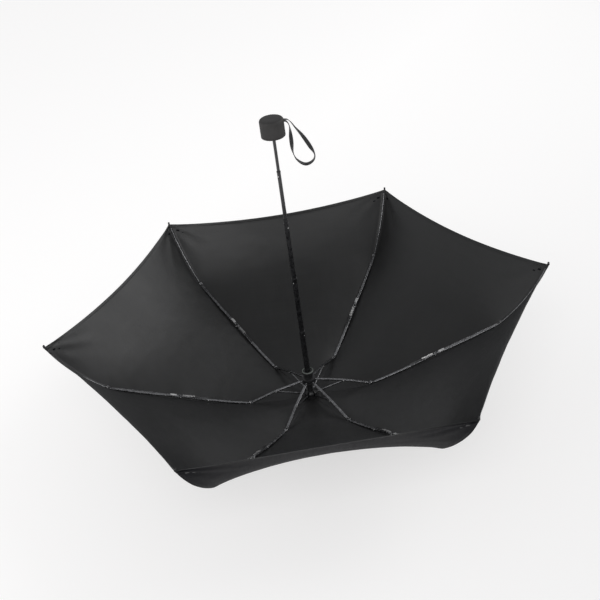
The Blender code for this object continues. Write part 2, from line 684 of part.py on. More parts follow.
def canopy_profile(pivots, offset, hem):
    """The fabric's line along a rib as (radius, height), at an offset from the pivots.

    hem is the share of the end rib that this line reaches."""

    def beside(start, length, angle, bow, share):
        point = along(pivots[start], length * share, angle)
        return point - along((0, 0), offset + 4 * bow * share * (1 - share), angle + 90)

    def mitre(pivot, before, after):
        spread = math.radians((after - before) / 2)
        return pivots[pivot] - along((0, 0), offset / math.cos(spread), (before + after) / 2 + 90)

    rows = [Vector((FABRIC_HOLE_RADIUS, CROWN_LOW - offset + FABRIC_INNER - GAP))]
    rows.append(mitre("second", -TOP_RIB_ANGLE, SECOND_RIB_ANGLE))
    rows.append(beside("second", SECOND_RIB_LENGTH, SECOND_RIB_ANGLE, SECOND_RIB_BOW, 0.5))
    rows.append(mitre("third", SECOND_RIB_ANGLE, THIRD_RIB_ANGLE))
    rows.append(beside("third", THIRD_RIB_LENGTH, THIRD_RIB_ANGLE, THIRD_RIB_BOW, 0.5))
    rows.append(mitre("end", THIRD_RIB_ANGLE, END_RIB_ANGLE))
    for step in range(1, END_RIB_ROWS + 1):
        rows.append(beside("end", END_RIB_LENGTH, END_RIB_ANGLE, END_RIB_BOW, hem * step / END_RIB_ROWS))
    return rows


def gore_sheet(pivots, offset):
    """One face of a gore, centred on the XZ plane, as rows of points across from rib to rib."""
    half = math.pi / RIBS
    columns = []
    for i in range(GORE_COLUMNS + 1):
        across = 2 * i / GORE_COLUMNS - 1
        bulge = 1 - across * across
        hem = FABRIC_HEM + (FABRIC_HEM_MIDDLE - FABRIC_HEM) * bulge
        profile = canopy_profile(pivots, offset, hem)
        column = []
        for step, (radius, height) in enumerate(profile):
            pull = FABRIC_SAG * bulge * (step / (len(profile) - 1)) ** 2
            side = across * (radius * math.sin(half) - GAP)
            column.append((radius * math.cos(half) - pull, side, height))
        columns.append(column)
    return [list(row) for row in zip(*columns)]


def build_canopy(pivots):
    """Six gores that meet along the ribs, each a thin closed solid."""
    near, far = gore_sheet(pivots, FABRIC_INNER), gore_sheet(pivots, FABRIC_OUTER)
    rows, columns = len(near), GORE_COLUMNS + 1
    verts = [point for sheet in (near, far) for row in sheet for point in row]
    under = rows * columns
    faces = []
    for i in range(rows - 1):
        for j in range(columns - 1):
            a = i * columns + j
            quad = (a, a + 1, a + columns + 1, a + columns)
            faces += [quad, tuple(under + k for k in reversed(quad))]
    rim = [j for j in range(columns)]
    rim += [i * columns + columns - 1 for i in range(1, rows)]
    rim += [(rows - 1) * columns + j for j in range(columns - 2, -1, -1)]
    rim += [i * columns for i in range(rows - 2, 0, -1)]
    faces += [(a, b, b + under, a + under) for a, b in zip(rim, rim[1:] + rim[:1])]
    pattern = dress(make_object("gore", verts, faces), "fabric", 60)
    for number in range(RIBS):
        gore = bpy.data.objects.new(f"gore_{number + 1}", pattern.data)
        bpy.context.collection.objects.link(gore)
        gore.rotation_euler = (0, 0, math.tau * (number + 0.5) / RIBS)
    bpy.data.objects.remove(pattern)


def main():
    for obj in list(bpy.data.objects):
        bpy.data.objects.remove(obj)
    pivots = linkage()
    build_ribs(pivots)
    build_crown()
    build_runner(pivots["runner"][1])
    build_shaft()
    build_handle()
    build_strap()
    build_canopy(pivots)


main()
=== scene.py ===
import json
import math

import bmesh
import bpy
import numpy as np
from mathutils import Matrix, Quaternion, Vector, noise


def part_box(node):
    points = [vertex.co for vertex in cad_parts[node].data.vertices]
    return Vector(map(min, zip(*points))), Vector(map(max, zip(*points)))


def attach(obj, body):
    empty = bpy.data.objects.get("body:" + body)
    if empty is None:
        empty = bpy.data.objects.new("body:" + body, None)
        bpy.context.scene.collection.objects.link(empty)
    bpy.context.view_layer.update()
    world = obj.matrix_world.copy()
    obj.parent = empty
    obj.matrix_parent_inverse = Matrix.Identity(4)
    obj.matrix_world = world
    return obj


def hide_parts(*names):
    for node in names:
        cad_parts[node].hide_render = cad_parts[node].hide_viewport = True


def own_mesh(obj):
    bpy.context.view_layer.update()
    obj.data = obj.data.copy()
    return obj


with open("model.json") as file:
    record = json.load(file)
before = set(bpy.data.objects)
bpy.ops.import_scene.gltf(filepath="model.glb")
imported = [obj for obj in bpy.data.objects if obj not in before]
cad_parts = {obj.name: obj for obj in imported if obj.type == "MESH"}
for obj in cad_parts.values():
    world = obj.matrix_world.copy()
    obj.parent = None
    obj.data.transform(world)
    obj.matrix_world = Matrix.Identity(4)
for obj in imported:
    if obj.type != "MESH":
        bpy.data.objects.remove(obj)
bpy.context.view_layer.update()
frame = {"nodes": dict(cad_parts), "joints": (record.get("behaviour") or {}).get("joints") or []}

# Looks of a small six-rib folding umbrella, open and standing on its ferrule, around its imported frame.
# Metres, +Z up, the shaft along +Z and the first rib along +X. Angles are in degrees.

RIBS = 6
PITCH = 360 / RIBS
PITCH_RADIANS = math.radians(PITCH)

# Camera
CAMERA_PLACE = (-0.0554, -1.5990, 1.2149)
CAMERA_AIM = (0.03179, 0.84808, -0.52892)
CAMERA_ROLL = -8.22
LENS_MM = 66.1
SENSOR_MM = 36

# Fabric
HUB_RADIUS = 0.0068
HUB_HEIGHT = 0.01275
COLLAR_RADIUS = 0.0135
SEAM_OFFSET = 0.0042  # from the pivots to the fabric
TIP_OFFSET = 0.0024  # the same at the rib tip
SECOND_RIB_BOW = 0.0022
THIRD_RIB_BOW = 0.0018
END_RIB_BOW = 0.009
CORNER_FROM_TIP = 0.0045
MIDDLE_TAKEN_IN = 0.05  # share by which a gore is cut shorter along its middle than along its seams
BEND_SMOOTHING = 0.005
LINE_STEP = 0.001
ROW_STEP = 0.0085
COLUMNS = 28
FINER = 2  # rows and columns of the finished cloth to each one of the simulated cloth
DRAWN_IN = 0.008  # how much further than the simulation the gore's middle is drawn towards the shaft
SETTLING_FRAMES = 36
CLOTH_SETTINGS = {
    "vertex_group_mass": "seams", "quality": 8, "mass": 0.1, "tension_stiffness": 40,
    "compression_stiffness": 40, "shear_stiffness": 15, "bending_stiffness": 0.4, "air_damping": 6,
    "vertex_group_shrink": "hem", "shrink_min": 0.01, "shrink_max": 0.10,
}
CLOTH_THICKNESS = 0.0003
HEM_WIDTH = 0.0065
HEM_THICKNESS = 0.0008

# Weave and stitches, in the distances from the hem and from the seam
THREADS = 320
SLUBS = (420, 14, 1)
CROSS_SLUBS = (11, 380, 1)
STITCHES = 55
HEM_STITCHES = HEM_WIDTH - 0.0012
SEAM_STITCHES = 0.0016
SEAM_ALLOWANCE = (0.0022, 0.0034)

# Wrinkles
PULL_REACH = 0.16  # how far from a tip its pulls in the cloth run out
PULL_START = 0.012
PULL_HEIGHT = 0.0011
PULLS = 17  # per radian round the tip
SEAM_DENTS = 0.0006
SEAM_DENT_WIDTH = 0.018
UNEVENNESS = ((0.0007, 14), (0.00025, 55))  # height and waves per metre

# Rib tips, between the end rib's pivot and the tip
TIP_LENGTH = 0.012
TIP_RADIUS = 0.002
TIP_EDGE = 0.0003
TIP_NOSE = 0.0013
TIP_WAIST = ((0.97, 0.003), (0.80, 0.0062), (0.72, 0.0072), (0.72, 0.0088), (0.86, 0.0096))  # of its radius
THREAD_LOOPS = ((0.0070, 0.0010), (0.0075, 0.0011), (0.0080, 0.0012), (0.0085, 0.0011))
THREAD_RADIUS = 0.00022
THREAD_SIDES = 28
END_RIB_OFFSET = 0.0017  # from the end rib's pivot to its wire

# Linkage: shares of the way along the rib, the lift over its pivots' line at its start, and how that changes
RIVET_SIDE = 0.0025
RIVET_RADIUS = 0.00135
RIVET_RISE = 0.0006
LINK_SHARE = 0.0755 / 0.1255  # where the linkage is riveted to the second rib
LINKAGE_BAR = (0.615, 0.68, 0.75, 0.82, 0.87), 0.0012, 0.0010
BAR_SECTION = (0.0036, 0.0008)
LINKAGE_WIRES = (0.80, 0.85, 0.90, 0.95, 0.975), 0.0016, 0.0022
WIRE_SIDE = 0.0011
WIRE_RADIUS = 0.0005
SPRING_CLIP = (0.062, 0.075, 0.105, 0.135, 0.148), 0.0034, -0.004
CLIP_SECTION = (0.0050, 0.0010)
OUTER_WIRE = (0.16, 0.25, 0.45, 0.65, 0.85, 0.96), 0.0034, -0.0036

# Ferrule cap, as (radius, height) from its foot to its edge
CAP_PROFILE = ((0.0040, 0.0), (0.0047, 0.0007), (0.0056, 0.0045), (0.0068, 0.0080), (0.0092, 0.0098))
CAP_EDGE = 0.0007
CAP_BORE = 0.0053
CAP_FLOOR = 0.0082

# Shaft
TUBE_ENDS = (0.155, 0.263, 0.369, 0.463)
TUBE_RADIUS = 0.005
TUBE_STEP = 0.0006
RIM_PROUD = 0.0003
TUBE_RIM = ((-RIM_PROUD, 0.0022), (0.0002, 0.0020), (RIM_PROUD, 0.0006))

# Handle and strap
HANDLE_WALL = 0.0022
HANDLE_ROUNDING = 0.0042
RIM_ROUNDING = 0.0011
GROOVE_DEPTH = 0.00035
DOME_DROP = 0.0005
STRAP_SLOT = (0.5475, 0.0074, 0.0048)  # height of its middle, width along Y, height
STRAP_WIDTH = 0.0065
STRAP_THICKNESS = 0.0009
STRAP_STATIONS = 150
STRAP_TWIST = (  # (share of the length, degrees that the ribbon is turned out of the slot's direction)
    (0, 0), (0.05, 0), (0.20, 82), (0.33, 2), (0.45, 26), (0.56, 4), (0.69, 86), (0.92, 18), (1, 0),
)
STRAP_ROUTE = (  # from slot to slot
    (0.0178, 0.0000, 0.5462), (0.0210, -0.0004, 0.5462), (0.0244, -0.0016, 0.5440),
    (0.0267, -0.0038, 0.5372), (0.0266, -0.0062, 0.5180), (0.0266, -0.0078, 0.4960),
    (0.0312, -0.0086, 0.4820), (0.0433, -0.0090, 0.4722), (0.0553, -0.0088, 0.4752),
    (0.0600, -0.0083, 0.4850), (0.0537, -0.0072, 0.5020), (0.0444, -0.0056, 0.5204),
    (0.0353, -0.0038, 0.5345), (0.0296, -0.0024, 0.5440), (0.0250, -0.0010, 0.5482),
    (0.0210, -0.0003, 0.5488), (0.0178, 0.0000, 0.5488),
)

# Studio
FLOOR_REACH = 20.0
FLOOR_PAINTED_LIGHT = (-0.6, 0.8, 0.70, 0.54)  # painted light: the floor's own glow, brighter at one side than at the other
SKY_GLOW = (0.15, 1.0, 0.80, 0.22)  # brighter low down than overhead
LAMP_SIZE = 1.8
LAMP_AIM = (0, 0, 0.1)
LAMPS = (  # name, place, power
    ("right", (2.35, 0.65, 1.85), 22),
    ("left", (-2.6, -1.2, 1.3), 8),
    ("front", (-0.4, -2.4, 2.4), 26),
)


# ------------------------------ frame


def joint_place(name):
    """(distance from the shaft's axis, height) of a joint."""
    x, y, z = next(j["pos_m"] for j in frame["joints"] if j["name"] == name)
    return Vector((math.hypot(x, y), z))


CROWN_PIVOT = joint_place("canopy_fold")
ELBOW = joint_place("stretcher_1_fold")  # where the top rib carries the stretcher
SECOND = joint_place("second_rib_1_fold")
THIRD = joint_place("third_rib_1_fold")
END = joint_place("end_rib_1_fold")
TIP = Vector((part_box("rib_tip_1")[1].x - 0.0009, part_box("rib_tip_1")[1].z - 0.0006))


def radial(azimuth):
    """The outward direction of a rib."""
    turn = math.radians(azimuth)
    return Vector((math.cos(turn), math.sin(turn), 0))


def in_rib_plane(point, azimuth, side=0.0):
    """A (radius, height) point of a rib's plane in the row frame, moved sideways."""
    out = radial(azimuth)
    return out * point[0] + Vector((-out.y, out.x, 0)) * side + Vector((0, 0, point[1]))


# ------------------------------ materials


def feed(made, inputs):
    """Set a node's inputs, or link them to sockets or to the first output of other nodes."""
    for key, value in inputs.items():
        if isinstance(value, bpy.types.Node):
            value = value.outputs[0]
        if isinstance(value, bpy.types.NodeSocket):
            made.id_data.links.new(value, made.inputs[key])
        else:
            made.inputs[key].default_value = value


def node_maker(tree):
    """A function that adds a node to a tree."""

    def node(kind, inputs=None, **settings):
        made = tree.nodes.new("ShaderNode" + kind)
        for key, value in settings.items():
            setattr(made, key, value)
        feed(made, inputs or {})
        return made

    return node


def new_material(name, colour, roughness, metallic=0.0):
    """A new material, its shader and its maker of nodes."""
    material = bpy.data.materials.new(name)
    material.use_nodes = True
    shader = material.node_tree.nodes["Principled BSDF"]
    feed(shader, {"Base Color": (*colour, 1), "Roughness": roughness, "Metallic": metallic})
    return material, shader, node_maker(material.node_tree)


def maths(node, operation, first, second=0.0):
    return node("Math", {0: first, 1: second}, operation=operation).outputs[0]


def ranged(node, value, low, high, start=0.0, end=1.0):
    """A value taken from low..high to start..end."""
    ends = {"From Min": low, "From Max": high, "To Min": start, "To Max": end}
    return node("MapRange", {"Value": value, **ends}).outputs["Result"]


def tinted(node, share, low, high):
    """A colour mixed from low to high by a share. Either is a colour or a socket."""
    ends = [end if isinstance(end, bpy.types.NodeSocket) else (*end, 1) for end in (low, high)]
    return node("Mix", {0: share, 6: ends[0], 7: ends[1]}, data_type="RGBA").outputs[2]


def rough_noise(node, scale, detail):
    """Noise over the object's own coordinates, per metre."""
    where = node("TexCoord").outputs["Object"]
    return node("TexNoise", {"Vector": where, "Scale": scale, "Detail": detail}).outputs["Fac"]


def thread_noise(node, grain, stretch, detail):
    """Noise that is drawn out along the threads of a weave."""
    where = node("VectorMath", {0: grain, 1: stretch}, operation="MULTIPLY").outputs[0]
    return node("TexNoise", {"Vector": where, "Scale": 1, "Detail": detail}).outputs["Fac"]


def cloth_material(name, low, high, roughness, gloss, sheen):
    """Plain black pongee: fine weave along each gore, faint slubs, a stitched hem and stitched seams."""
    material, shader, node = new_material(name, high, roughness)
    grain = node("Attribute", attribute_name="grain").outputs["Vector"]
    edges = node("SeparateXYZ", {"Vector": node("Attribute", attribute_name="edges").outputs["Vector"]})
    hem, seam = edges.outputs[0], edges.outputs[1]

    threads = []
    for way in ("X", "Y"):
        looks = {"Vector": grain, "Scale": THREADS, "Distortion": 0.6, "Detail": 1}
        threads.append(node("TexWave", looks, bands_direction=way).outputs["Fac"])
    weave = maths(node, "MULTIPLY", *threads)
    slubs = thread_noise(node, grain, SLUBS, 4)
    cross_slubs = thread_noise(node, grain, CROSS_SLUBS, 3)
    mix = maths(node, "ADD", maths(node, "ADD", slubs, cross_slubs), rough_noise(node, 9, 2))

    stitches = []
    for distance, way, line in ((hem, "X", HEM_STITCHES), (seam, "Y", SEAM_STITCHES)):
        near = maths(node, "ABSOLUTE", maths(node, "SUBTRACT", distance, line))
        band = ranged(node, near, 0.0002, 0.0006, 1, 0)
        dash = node("TexWave", {"Vector": grain, "Scale": STITCHES}, bands_direction=way).outputs["Fac"]
        stitches.append(maths(node, "MULTIPLY", band, ranged(node, dash, 0.35, 0.6)))
    stitch = maths(node, "MAXIMUM", *stitches)
    hem_share = ranged(node, hem, HEM_WIDTH - 0.0005, HEM_WIDTH + 0.0005, 1, 0)
    seam_share = ranged(node, seam, *SEAM_ALLOWANCE, 1, 0)
    doubled = maths(node, "MAXIMUM", hem_share, seam_share)

    shade = tinted(node, ranged(node, mix, 1.1, 1.9), low, high)
    in_the_seams = [0.5 * part for part in low]
    height = maths(node, "MULTIPLY", weave, 0.25)
    for part, weight in ((slubs, 0.5), (cross_slubs, 0.4), (stitch, 1.2), (doubled, 1.0)):
        height = maths(node, "ADD", height, maths(node, "MULTIPLY", part, weight))
    looks = {
        "Base Color": tinted(node, maths(node, "MULTIPLY", doubled, 0.35), shade, in_the_seams),
        "Roughness": ranged(node, mix, 1.0, 2.0, roughness - 0.06, roughness + 0.08),
        "Specular IOR Level": gloss,
        "Sheen Weight": sheen,
        "Sheen Roughness": 0.45,
        "Sheen Tint": (0.82, 0.86, 0.95, 1),
        "Normal": node("Bump", {"Height": height, "Strength": 0.5, "Distance": 0.0003}),
    }
    feed(shader, looks)
    return material


def metal_material(name, low, high, roughness, metallic, rounding, coat=0.0):
    """Metal or lacquered metal with cloudy gloss, small pits and rounded edges that catch the light."""
    material, shader, node = new_material(name, high, roughness, metallic)
    cloudy, fine = rough_noise(node, 160, 3), rough_noise(node, 1500, 2)
    rounded = node("Bevel", {"Radius": rounding}, samples=8)
    wear = maths(node, "ADD", cloudy, fine)
    looks = {
        "Base Color": tinted(node, ranged(node, cloudy, 0.35, 0.65), low, high),
        "Roughness": ranged(node, wear, 0.7, 1.3, roughness - 0.08, roughness + 0.12),
        "Normal": node("Bump", {"Height": fine, "Strength": 0.06, "Distance": 0.0001, "Normal": rounded}),
        "Coat Weight": coat,
        "Coat Roughness": 0.12,
    }
    feed(shader, looks)
    return material


def moulded_material(name, low, high, roughness, grain_scale, grain_height):
    """Moulded plastic, rubber or thread with a fine pebbled surface."""
    material, shader, node = new_material(name, high, roughness)
    cloudy, fine = rough_noise(node, 70, 3), rough_noise(node, grain_scale, 2)
    looks = {
        "Base Color": tinted(node, ranged(node, cloudy, 0.3, 0.7), low, high),
        "Roughness": ranged(node, fine, 0.3, 0.7, roughness - 0.07, roughness + 0.07),
        "Normal": node("Bump", {"Height": fine, "Strength": 0.35, "Distance": grain_height}),
        "Specular IOR Level": 0.4,
    }
    feed(shader, looks)
    return material


def webbing_material(name, low, high):
    """Woven tape: a herringbone of fine threads."""
    material, shader, node = new_material(name, high, 0.75)
    parts = node("SeparateXYZ", {"Vector": node("Attribute", attribute_name="grain").outputs["Vector"]})
    slant = maths(node, "ADD", maths(node, "ABSOLUTE", parts.outputs[0]), parts.outputs[1])
    slanted = node("CombineXYZ", {0: slant})
    ribs = node("TexWave", {"Vector": slanted, "Scale": 260}, bands_direction="X").outputs["Fac"]
    height = maths(node, "ADD", ribs, rough_noise(node, 2600, 2))
    looks = {
        "Base Color": tinted(node, ribs, low, high),
        "Normal": node("Bump", {"Height": height, "Strength": 0.7, "Distance": 0.0003}),
        "Sheen Weight": 0.3,
    }
    feed(shader, looks)
    return material


# Each has a dark and a light colour. Cloth: roughness, gloss and sheen.
INSIDE_CLOTH = cloth_material("pongee_inside", (0.007, 0.007, 0.007), (0.012, 0.012, 0.012), 0.42, 0.50, 0.01)
# The outer face: its own bluish coating, darkened further as painted shade for the shadowed underside of the
# canopy.
OUTSIDE_CLOTH = cloth_material(
    "pongee_outside", (0.0015, 0.0015, 0.0025), (0.0045, 0.0045, 0.0065), 0.55, 0.05, 0.0
)
# Metal: roughness, how metallic it is, the rounding of its edges and a coat.
LACQUER = metal_material("black_lacquer", (0.01, 0.01, 0.011), (0.028, 0.028, 0.03), 0.26, 0.4, 0.0004, 0.6)
RIB_STEEL = metal_material("dark_nickel", (0.20, 0.20, 0.205), (0.30, 0.30, 0.31), 0.25, 1.0, 0.0021)
PLATE = metal_material("nickel_plate", (0.52, 0.52, 0.52), (0.72, 0.71, 0.70), 0.24, 1.0, 0.0002)
# Plastic, rubber and thread: roughness, pebbles per metre and their height.
PLASTIC = moulded_material(
    "moulded_plastic", (0.014, 0.014, 0.015), (0.024, 0.024, 0.025), 0.42, 1400, 0.00012
)
RUBBER = moulded_material("matte_rubber", (0.026, 0.025, 0.0245), (0.038, 0.0365, 0.036), 0.66, 2200, 0.00018)
RING_PLASTIC = moulded_material("grey_ring", (0.10, 0.115, 0.105), (0.15, 0.165, 0.15), 0.5, 1200, 0.0001)
TAPE = webbing_material("woven_tape", (0.006, 0.006, 0.007), (0.022, 0.022, 0.024))
THREAD = moulded_material("sewing_thread", (0.010, 0.010, 0.011), (0.026, 0.026, 0.028), 0.8, 3000, 0.0001)

CAD_FINISHES = {
    "lacquered_steel": LACQUER,
    "plated_steel": PLATE,
    "black_plastic": PLASTIC,
    "rubber": RUBBER,
    "webbing": TAPE,
    "fabric": INSIDE_CLOTH,
}
for cad_node in frame["nodes"].values():
    for material_slot in cad_node.material_slots:
        finish = CAD_FINISHES[material_slot.material.name.split(".")[0]]
        is_rib = "rib_" in cad_node.name or cad_node.name.startswith("stretcher")
        material_slot.material = RIB_STEEL if finish is LACQUER and is_rib else finish


# ------------------------------ making pieces


def new_object(name, verts, faces, materials, smooth=True):
    """A mesh object in the row frame."""
    mesh = bpy.data.meshes.new(name)
    mesh.from_pydata([tuple(v) for v in verts], [], [tuple(f) for f in faces])
    mesh.update()
    obj = bpy.data.objects.new(name, mesh)
    bpy.context.collection.objects.link(obj)
    for material in materials:
        mesh.materials.append(material)
    if smooth:
        mesh.shade_smooth()
    return obj


def turned(outline, sides=72):
    """Vertices and faces of a (radius, height) outline turned about Z. It's closed or ends on the axis."""
    verts, rings, faces = [], [], []
    for radius, height in outline:
        if radius == 0:
            rings.append([len(verts)] * sides)
            verts.append(Vector((0, 0, height)))
        else:
            rings.append(list(range(len(verts), len(verts) + sides)))
            for i in range(sides):
                turn = math.tau * i / sides
                verts.append(Vector((radius * math.cos(turn), radius * math.sin(turn), height)))
    following = rings[1:] if outline[0][0] == 0 else rings[1:] + rings[:1]
    for low, high in zip(rings, following):
        for i in range(sides):
            j = (i + 1) % sides
            face = list(dict.fromkeys((low[i], low[j], high[j], high[i])))
            if len(face) > 2:
                faces.append(face)
    return verts, faces


def tube(points, radius, sides=10, closed=False):
    """Vertices and faces of a round tube along points, with flat ends."""
    points = [Vector(p) for p in points]
    count = len(points)
    verts, normal = [], None
    for i, point in enumerate(points):
        before = points[i - 1] if i or closed else point
        after = points[(i + 1) % count] if i < count - 1 or closed else point
        along = (after - before).normalized()
        if normal is None:
            normal = along.orthogonal().normalized()
        normal = (normal - along * normal.dot(along)).normalized()
        other = along.cross(normal)
        for k in range(sides):
            turn = math.tau * k / sides
            verts.append(point + radius * (normal * math.cos(turn) + other * math.sin(turn)))
    return verts, swept_faces(count, sides, closed)


def swept_faces(rings, sides, closed=False):
    """Faces between rings of points, with flat ends unless the last ring meets the first."""
    faces = []
    for i in range(rings if closed else rings - 1):
        here, ahead = i * sides, (i + 1) % rings * sides
        for k in range(sides):
            following = (k + 1) % sides
            faces.append((here + k, here + following, ahead + following, ahead + k))
    if not closed:
        faces.append(tuple(range(sides))[::-1])
        faces.append(tuple(range((rings - 1) * sides, rings * sides)))
    return faces


def flat_section(width, thickness, steps=5):
    """A flat section with round edges as (across, out) points."""
    radius = thickness / 2
    flat = width / 2 - radius
    section = []
    for side in (1, -1):
        for i in range(steps + 1):
            turn = math.radians(-90 + 180 * i / steps)
            section.append((side * (flat + radius * math.cos(turn)), side * radius * math.sin(turn)))
        section += [(side * flat * share, side * radius) for share in (0.5, 0.0, -0.5)]
    return section


def strip(places, azimuth, width, thickness):
    """Vertices and faces of a flat bar with round edges along (radius, height) places in a rib's plane."""
    section = flat_section(width, thickness)
    verts = []
    for i, place in enumerate(places):
        along = places[min(i + 1, len(places) - 1)] - places[max(i - 1, 0)]
        up = Vector((-along.y, along.x)).normalized()
        verts += [in_rib_plane(place + up * rise, azimuth, across) for across, rise in section]
    return verts, swept_faces(len(places), len(section))


def join_shapes(shapes):
    """One list of vertices and faces out of several."""
    verts, faces = [], []
    for more_verts, more_faces in shapes:
        faces += [tuple(len(verts) + k for k in face) for face in more_faces]
        verts += more_verts
    return verts, faces


def moved(shape, matrix):
    """A shape's vertices moved by a matrix."""
    verts, faces = shape
    return [matrix @ v for v in verts], faces


def finished(name, shape, material, body, replacing=(), sharp=35):
    """A piece out of vertices and faces, facing outwards, that rides on a body."""
    obj = new_object(name, *shape, [material])
    shaped = bmesh.new()
    shaped.from_mesh(obj.data)
    bmesh.ops.recalc_face_normals(shaped, faces=shaped.faces)
    shaped.to_mesh(obj.data)
    shaped.free()
    obj.data.set_sharp_from_angle(angle=math.radians(sharp))
    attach(obj, body)
    if replacing:
        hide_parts(*replacing)
    return obj


# ------------------------------ camera, strap and handle


def build_camera():
    camera = bpy.data.cameras.new("camera")
    camera.lens, camera.sensor_width = LENS_MM, SENSOR_MM
    camera.clip_end = 50
    obj = bpy.data.objects.new("camera", camera)
    obj.location = CAMERA_PLACE
    obj.rotation_mode = "QUATERNION"
    roll = Quaternion((0, 0, 1), math.radians(CAMERA_ROLL))
    obj.rotation_quaternion = Vector(CAMERA_AIM).to_track_quat("-Z", "Y") @ roll
    bpy.context.collection.objects.link(obj)
    bpy.context.scene.camera = obj
    bpy.context.scene.view_settings.view_transform = "Standard"


def between(points, t):
    """A place on a smooth curve through four points, between its second and its third."""
    p0, p1, p2, p3 = points
    slope, bend = p2 - p0, 2 * p0 - 5 * p1 + 4 * p2 - p3
    return p1 + 0.5 * t * (slope + t * (bend + t * (3 * p1 - p0 - 3 * p2 + p3)))


def smooth_curve(route, count):
    """Points on a smooth curve through the route's own points."""
    points = [Vector(p) for p in route]
    ends = [2 * points[0] - points[1]] + points + [2 * points[-1] - points[-2]]
    curve = []
    for i in range(count):
        place_on = (len(points) - 1) * i / (count - 1)
        k = min(int(place_on), len(points) - 2)
        curve.append(between(ends[k : k + 4], place_on - k))
    return curve


def twist_at(share):
    """The strap's twist in radians, eased between its key places."""
    for (start, low), (end, high) in zip(STRAP_TWIST, STRAP_TWIST[1:]):
        if share <= end:
            t = (share - start) / (end - start)
            return math.radians(low + (high - low) * t * t * (3 - 2 * t))
    return math.radians(STRAP_TWIST[-1][1])


def build_strap():
    """The wrist strap: a woven ribbon that leaves its slot flat and turns outwards down each strand."""
    path = smooth_curve(STRAP_ROUTE, STRAP_STATIONS)
    steps = [(b - a).length for a, b in zip(path, path[1:])]
    length = sum(steps)
    section = flat_section(STRAP_WIDTH, STRAP_THICKNESS)
    verts, grains = [], []
    gone = 0.0
    for i, point in enumerate(path):
        tangent = (path[min(i + 1, len(path) - 1)] - path[max(i - 1, 0)]).normalized()
        flat = Vector((0, 1, 0))
        flat = (flat - tangent * flat.dot(tangent)).normalized()
        turn = twist_at(gone / length)
        across = flat * math.cos(turn) + tangent.cross(flat) * math.sin(turn)
        out = across.cross(tangent)
        for sideways, rise in section:
            verts.append(point + across * sideways + out * rise)
            grains.append((sideways, gone, 0))
        if i < len(steps):
            gone += steps[i]
    shape = verts, swept_faces(len(path), len(section))
    obj = finished("wrist_strap", shape, TAPE, "handle", ["strap"], sharp=60)
    grain = obj.data.attributes.new("grain", "FLOAT_VECTOR", "POINT")
    grain.data.foreach_set("vector", np.array(grains).ravel())


def arc(centre, radius, start, end, steps):
    """(radius, height) points on an arc, angles in degrees."""
    turns = [math.radians(start + (end - start) * i / steps) for i in range(steps + 1)]
    return [(centre[0] + radius * math.cos(a), centre[1] + radius * math.sin(a)) for a in turns]


def rounded_box(name, low, high, radius):
    """A cutter with round edges along X."""
    middle = [(a + b) / 2 for a, b in zip(low, high)]
    half_y, half_z = (high[1] - low[1]) / 2 - radius, (high[2] - low[2]) / 2 - radius
    outline = []
    for side_y, side_z, start in ((1, 1, 0), (-1, 1, 90), (-1, -1, 180), (1, -1, 270)):
        corner = (middle[1] + side_y * half_y, middle[2] + side_z * half_z)
        outline += arc(corner, radius, start, start + 90, 5)
    count = len(outline)
    verts = [(x, y, z) for x in (low[0], high[0]) for y, z in outline]
    faces = [tuple(range(count))[::-1], tuple(range(count, 2 * count))]
    faces += [(k, (k + 1) % count, (k + 1) % count + count, k + count) for k in range(count)]
    return new_object(name, verts, faces, [], smooth=False)


def build_grip():
    """The handle's cup: a slightly domed end, a fine groove above its open rim, and the strap's slot."""
    low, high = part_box("handle_grip")
    radius = (high.x - low.x) / 2
    inner, ceiling = radius - HANDLE_WALL, high.z - HANDLE_WALL
    outline = [(0, ceiling), (inner, ceiling), (inner, low.z + 0.0006), (inner + 0.0006, low.z)]
    outline += [(radius - RIM_ROUNDING - 0.0001, low.z)]
    outline += arc((radius - RIM_ROUNDING, low.z + RIM_ROUNDING), RIM_ROUNDING, -90, 0, 5)
    for sunk, rise in ((0, 0.0026), (GROOVE_DEPTH, 0.0029), (GROOVE_DEPTH, 0.0032), (0, 0.0035)):
        outline.append((radius - sunk, low.z + rise))
    shoulder = (radius - HANDLE_ROUNDING, high.z - DOME_DROP - HANDLE_ROUNDING)
    outline += arc(shoulder, HANDLE_ROUNDING, 0, 86, 12)
    reach = outline[-1][0]
    outline += [(reach * share, high.z - DOME_DROP * share**2) for share in (0.8, 0.6, 0.4, 0.2)]
    shape = turned(outline + [(0, high.z)], 96)
    obj = new_object("grip", *shape, [RUBBER])
    middle, width, height = STRAP_SLOT
    low_corner = (inner - 0.002, -width / 2, middle - height / 2)
    high_corner = (radius + 0.002, width / 2, middle + height / 2)
    cutter = rounded_box("slot_cutter", low_corner, high_corner, 0.0012)
    facing = bmesh.new()
    for mesh in (obj.data, cutter.data):
        facing.from_mesh(mesh)
        bmesh.ops.recalc_face_normals(facing, faces=facing.faces)
        facing.to_mesh(mesh)
        facing.clear()
    facing.free()
    cut = obj.modifiers.new("slot", "BOOLEAN")
    cut.operation, cut.object = "DIFFERENCE", cutter
    obj.data = bpy.data.meshes.new_from_object(obj.evaluated_get(bpy.context.evaluated_depsgraph_get()))
    obj.modifiers.clear()
    bpy.data.objects.remove(cutter)
    obj.data.shade_smooth()
    obj.data.set_sharp_from_angle(angle=math.radians(40))
    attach(obj, "handle")
    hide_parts("handle_grip")


build_camera()
build_strap()
build_grip()


# ------------------------------ canopy


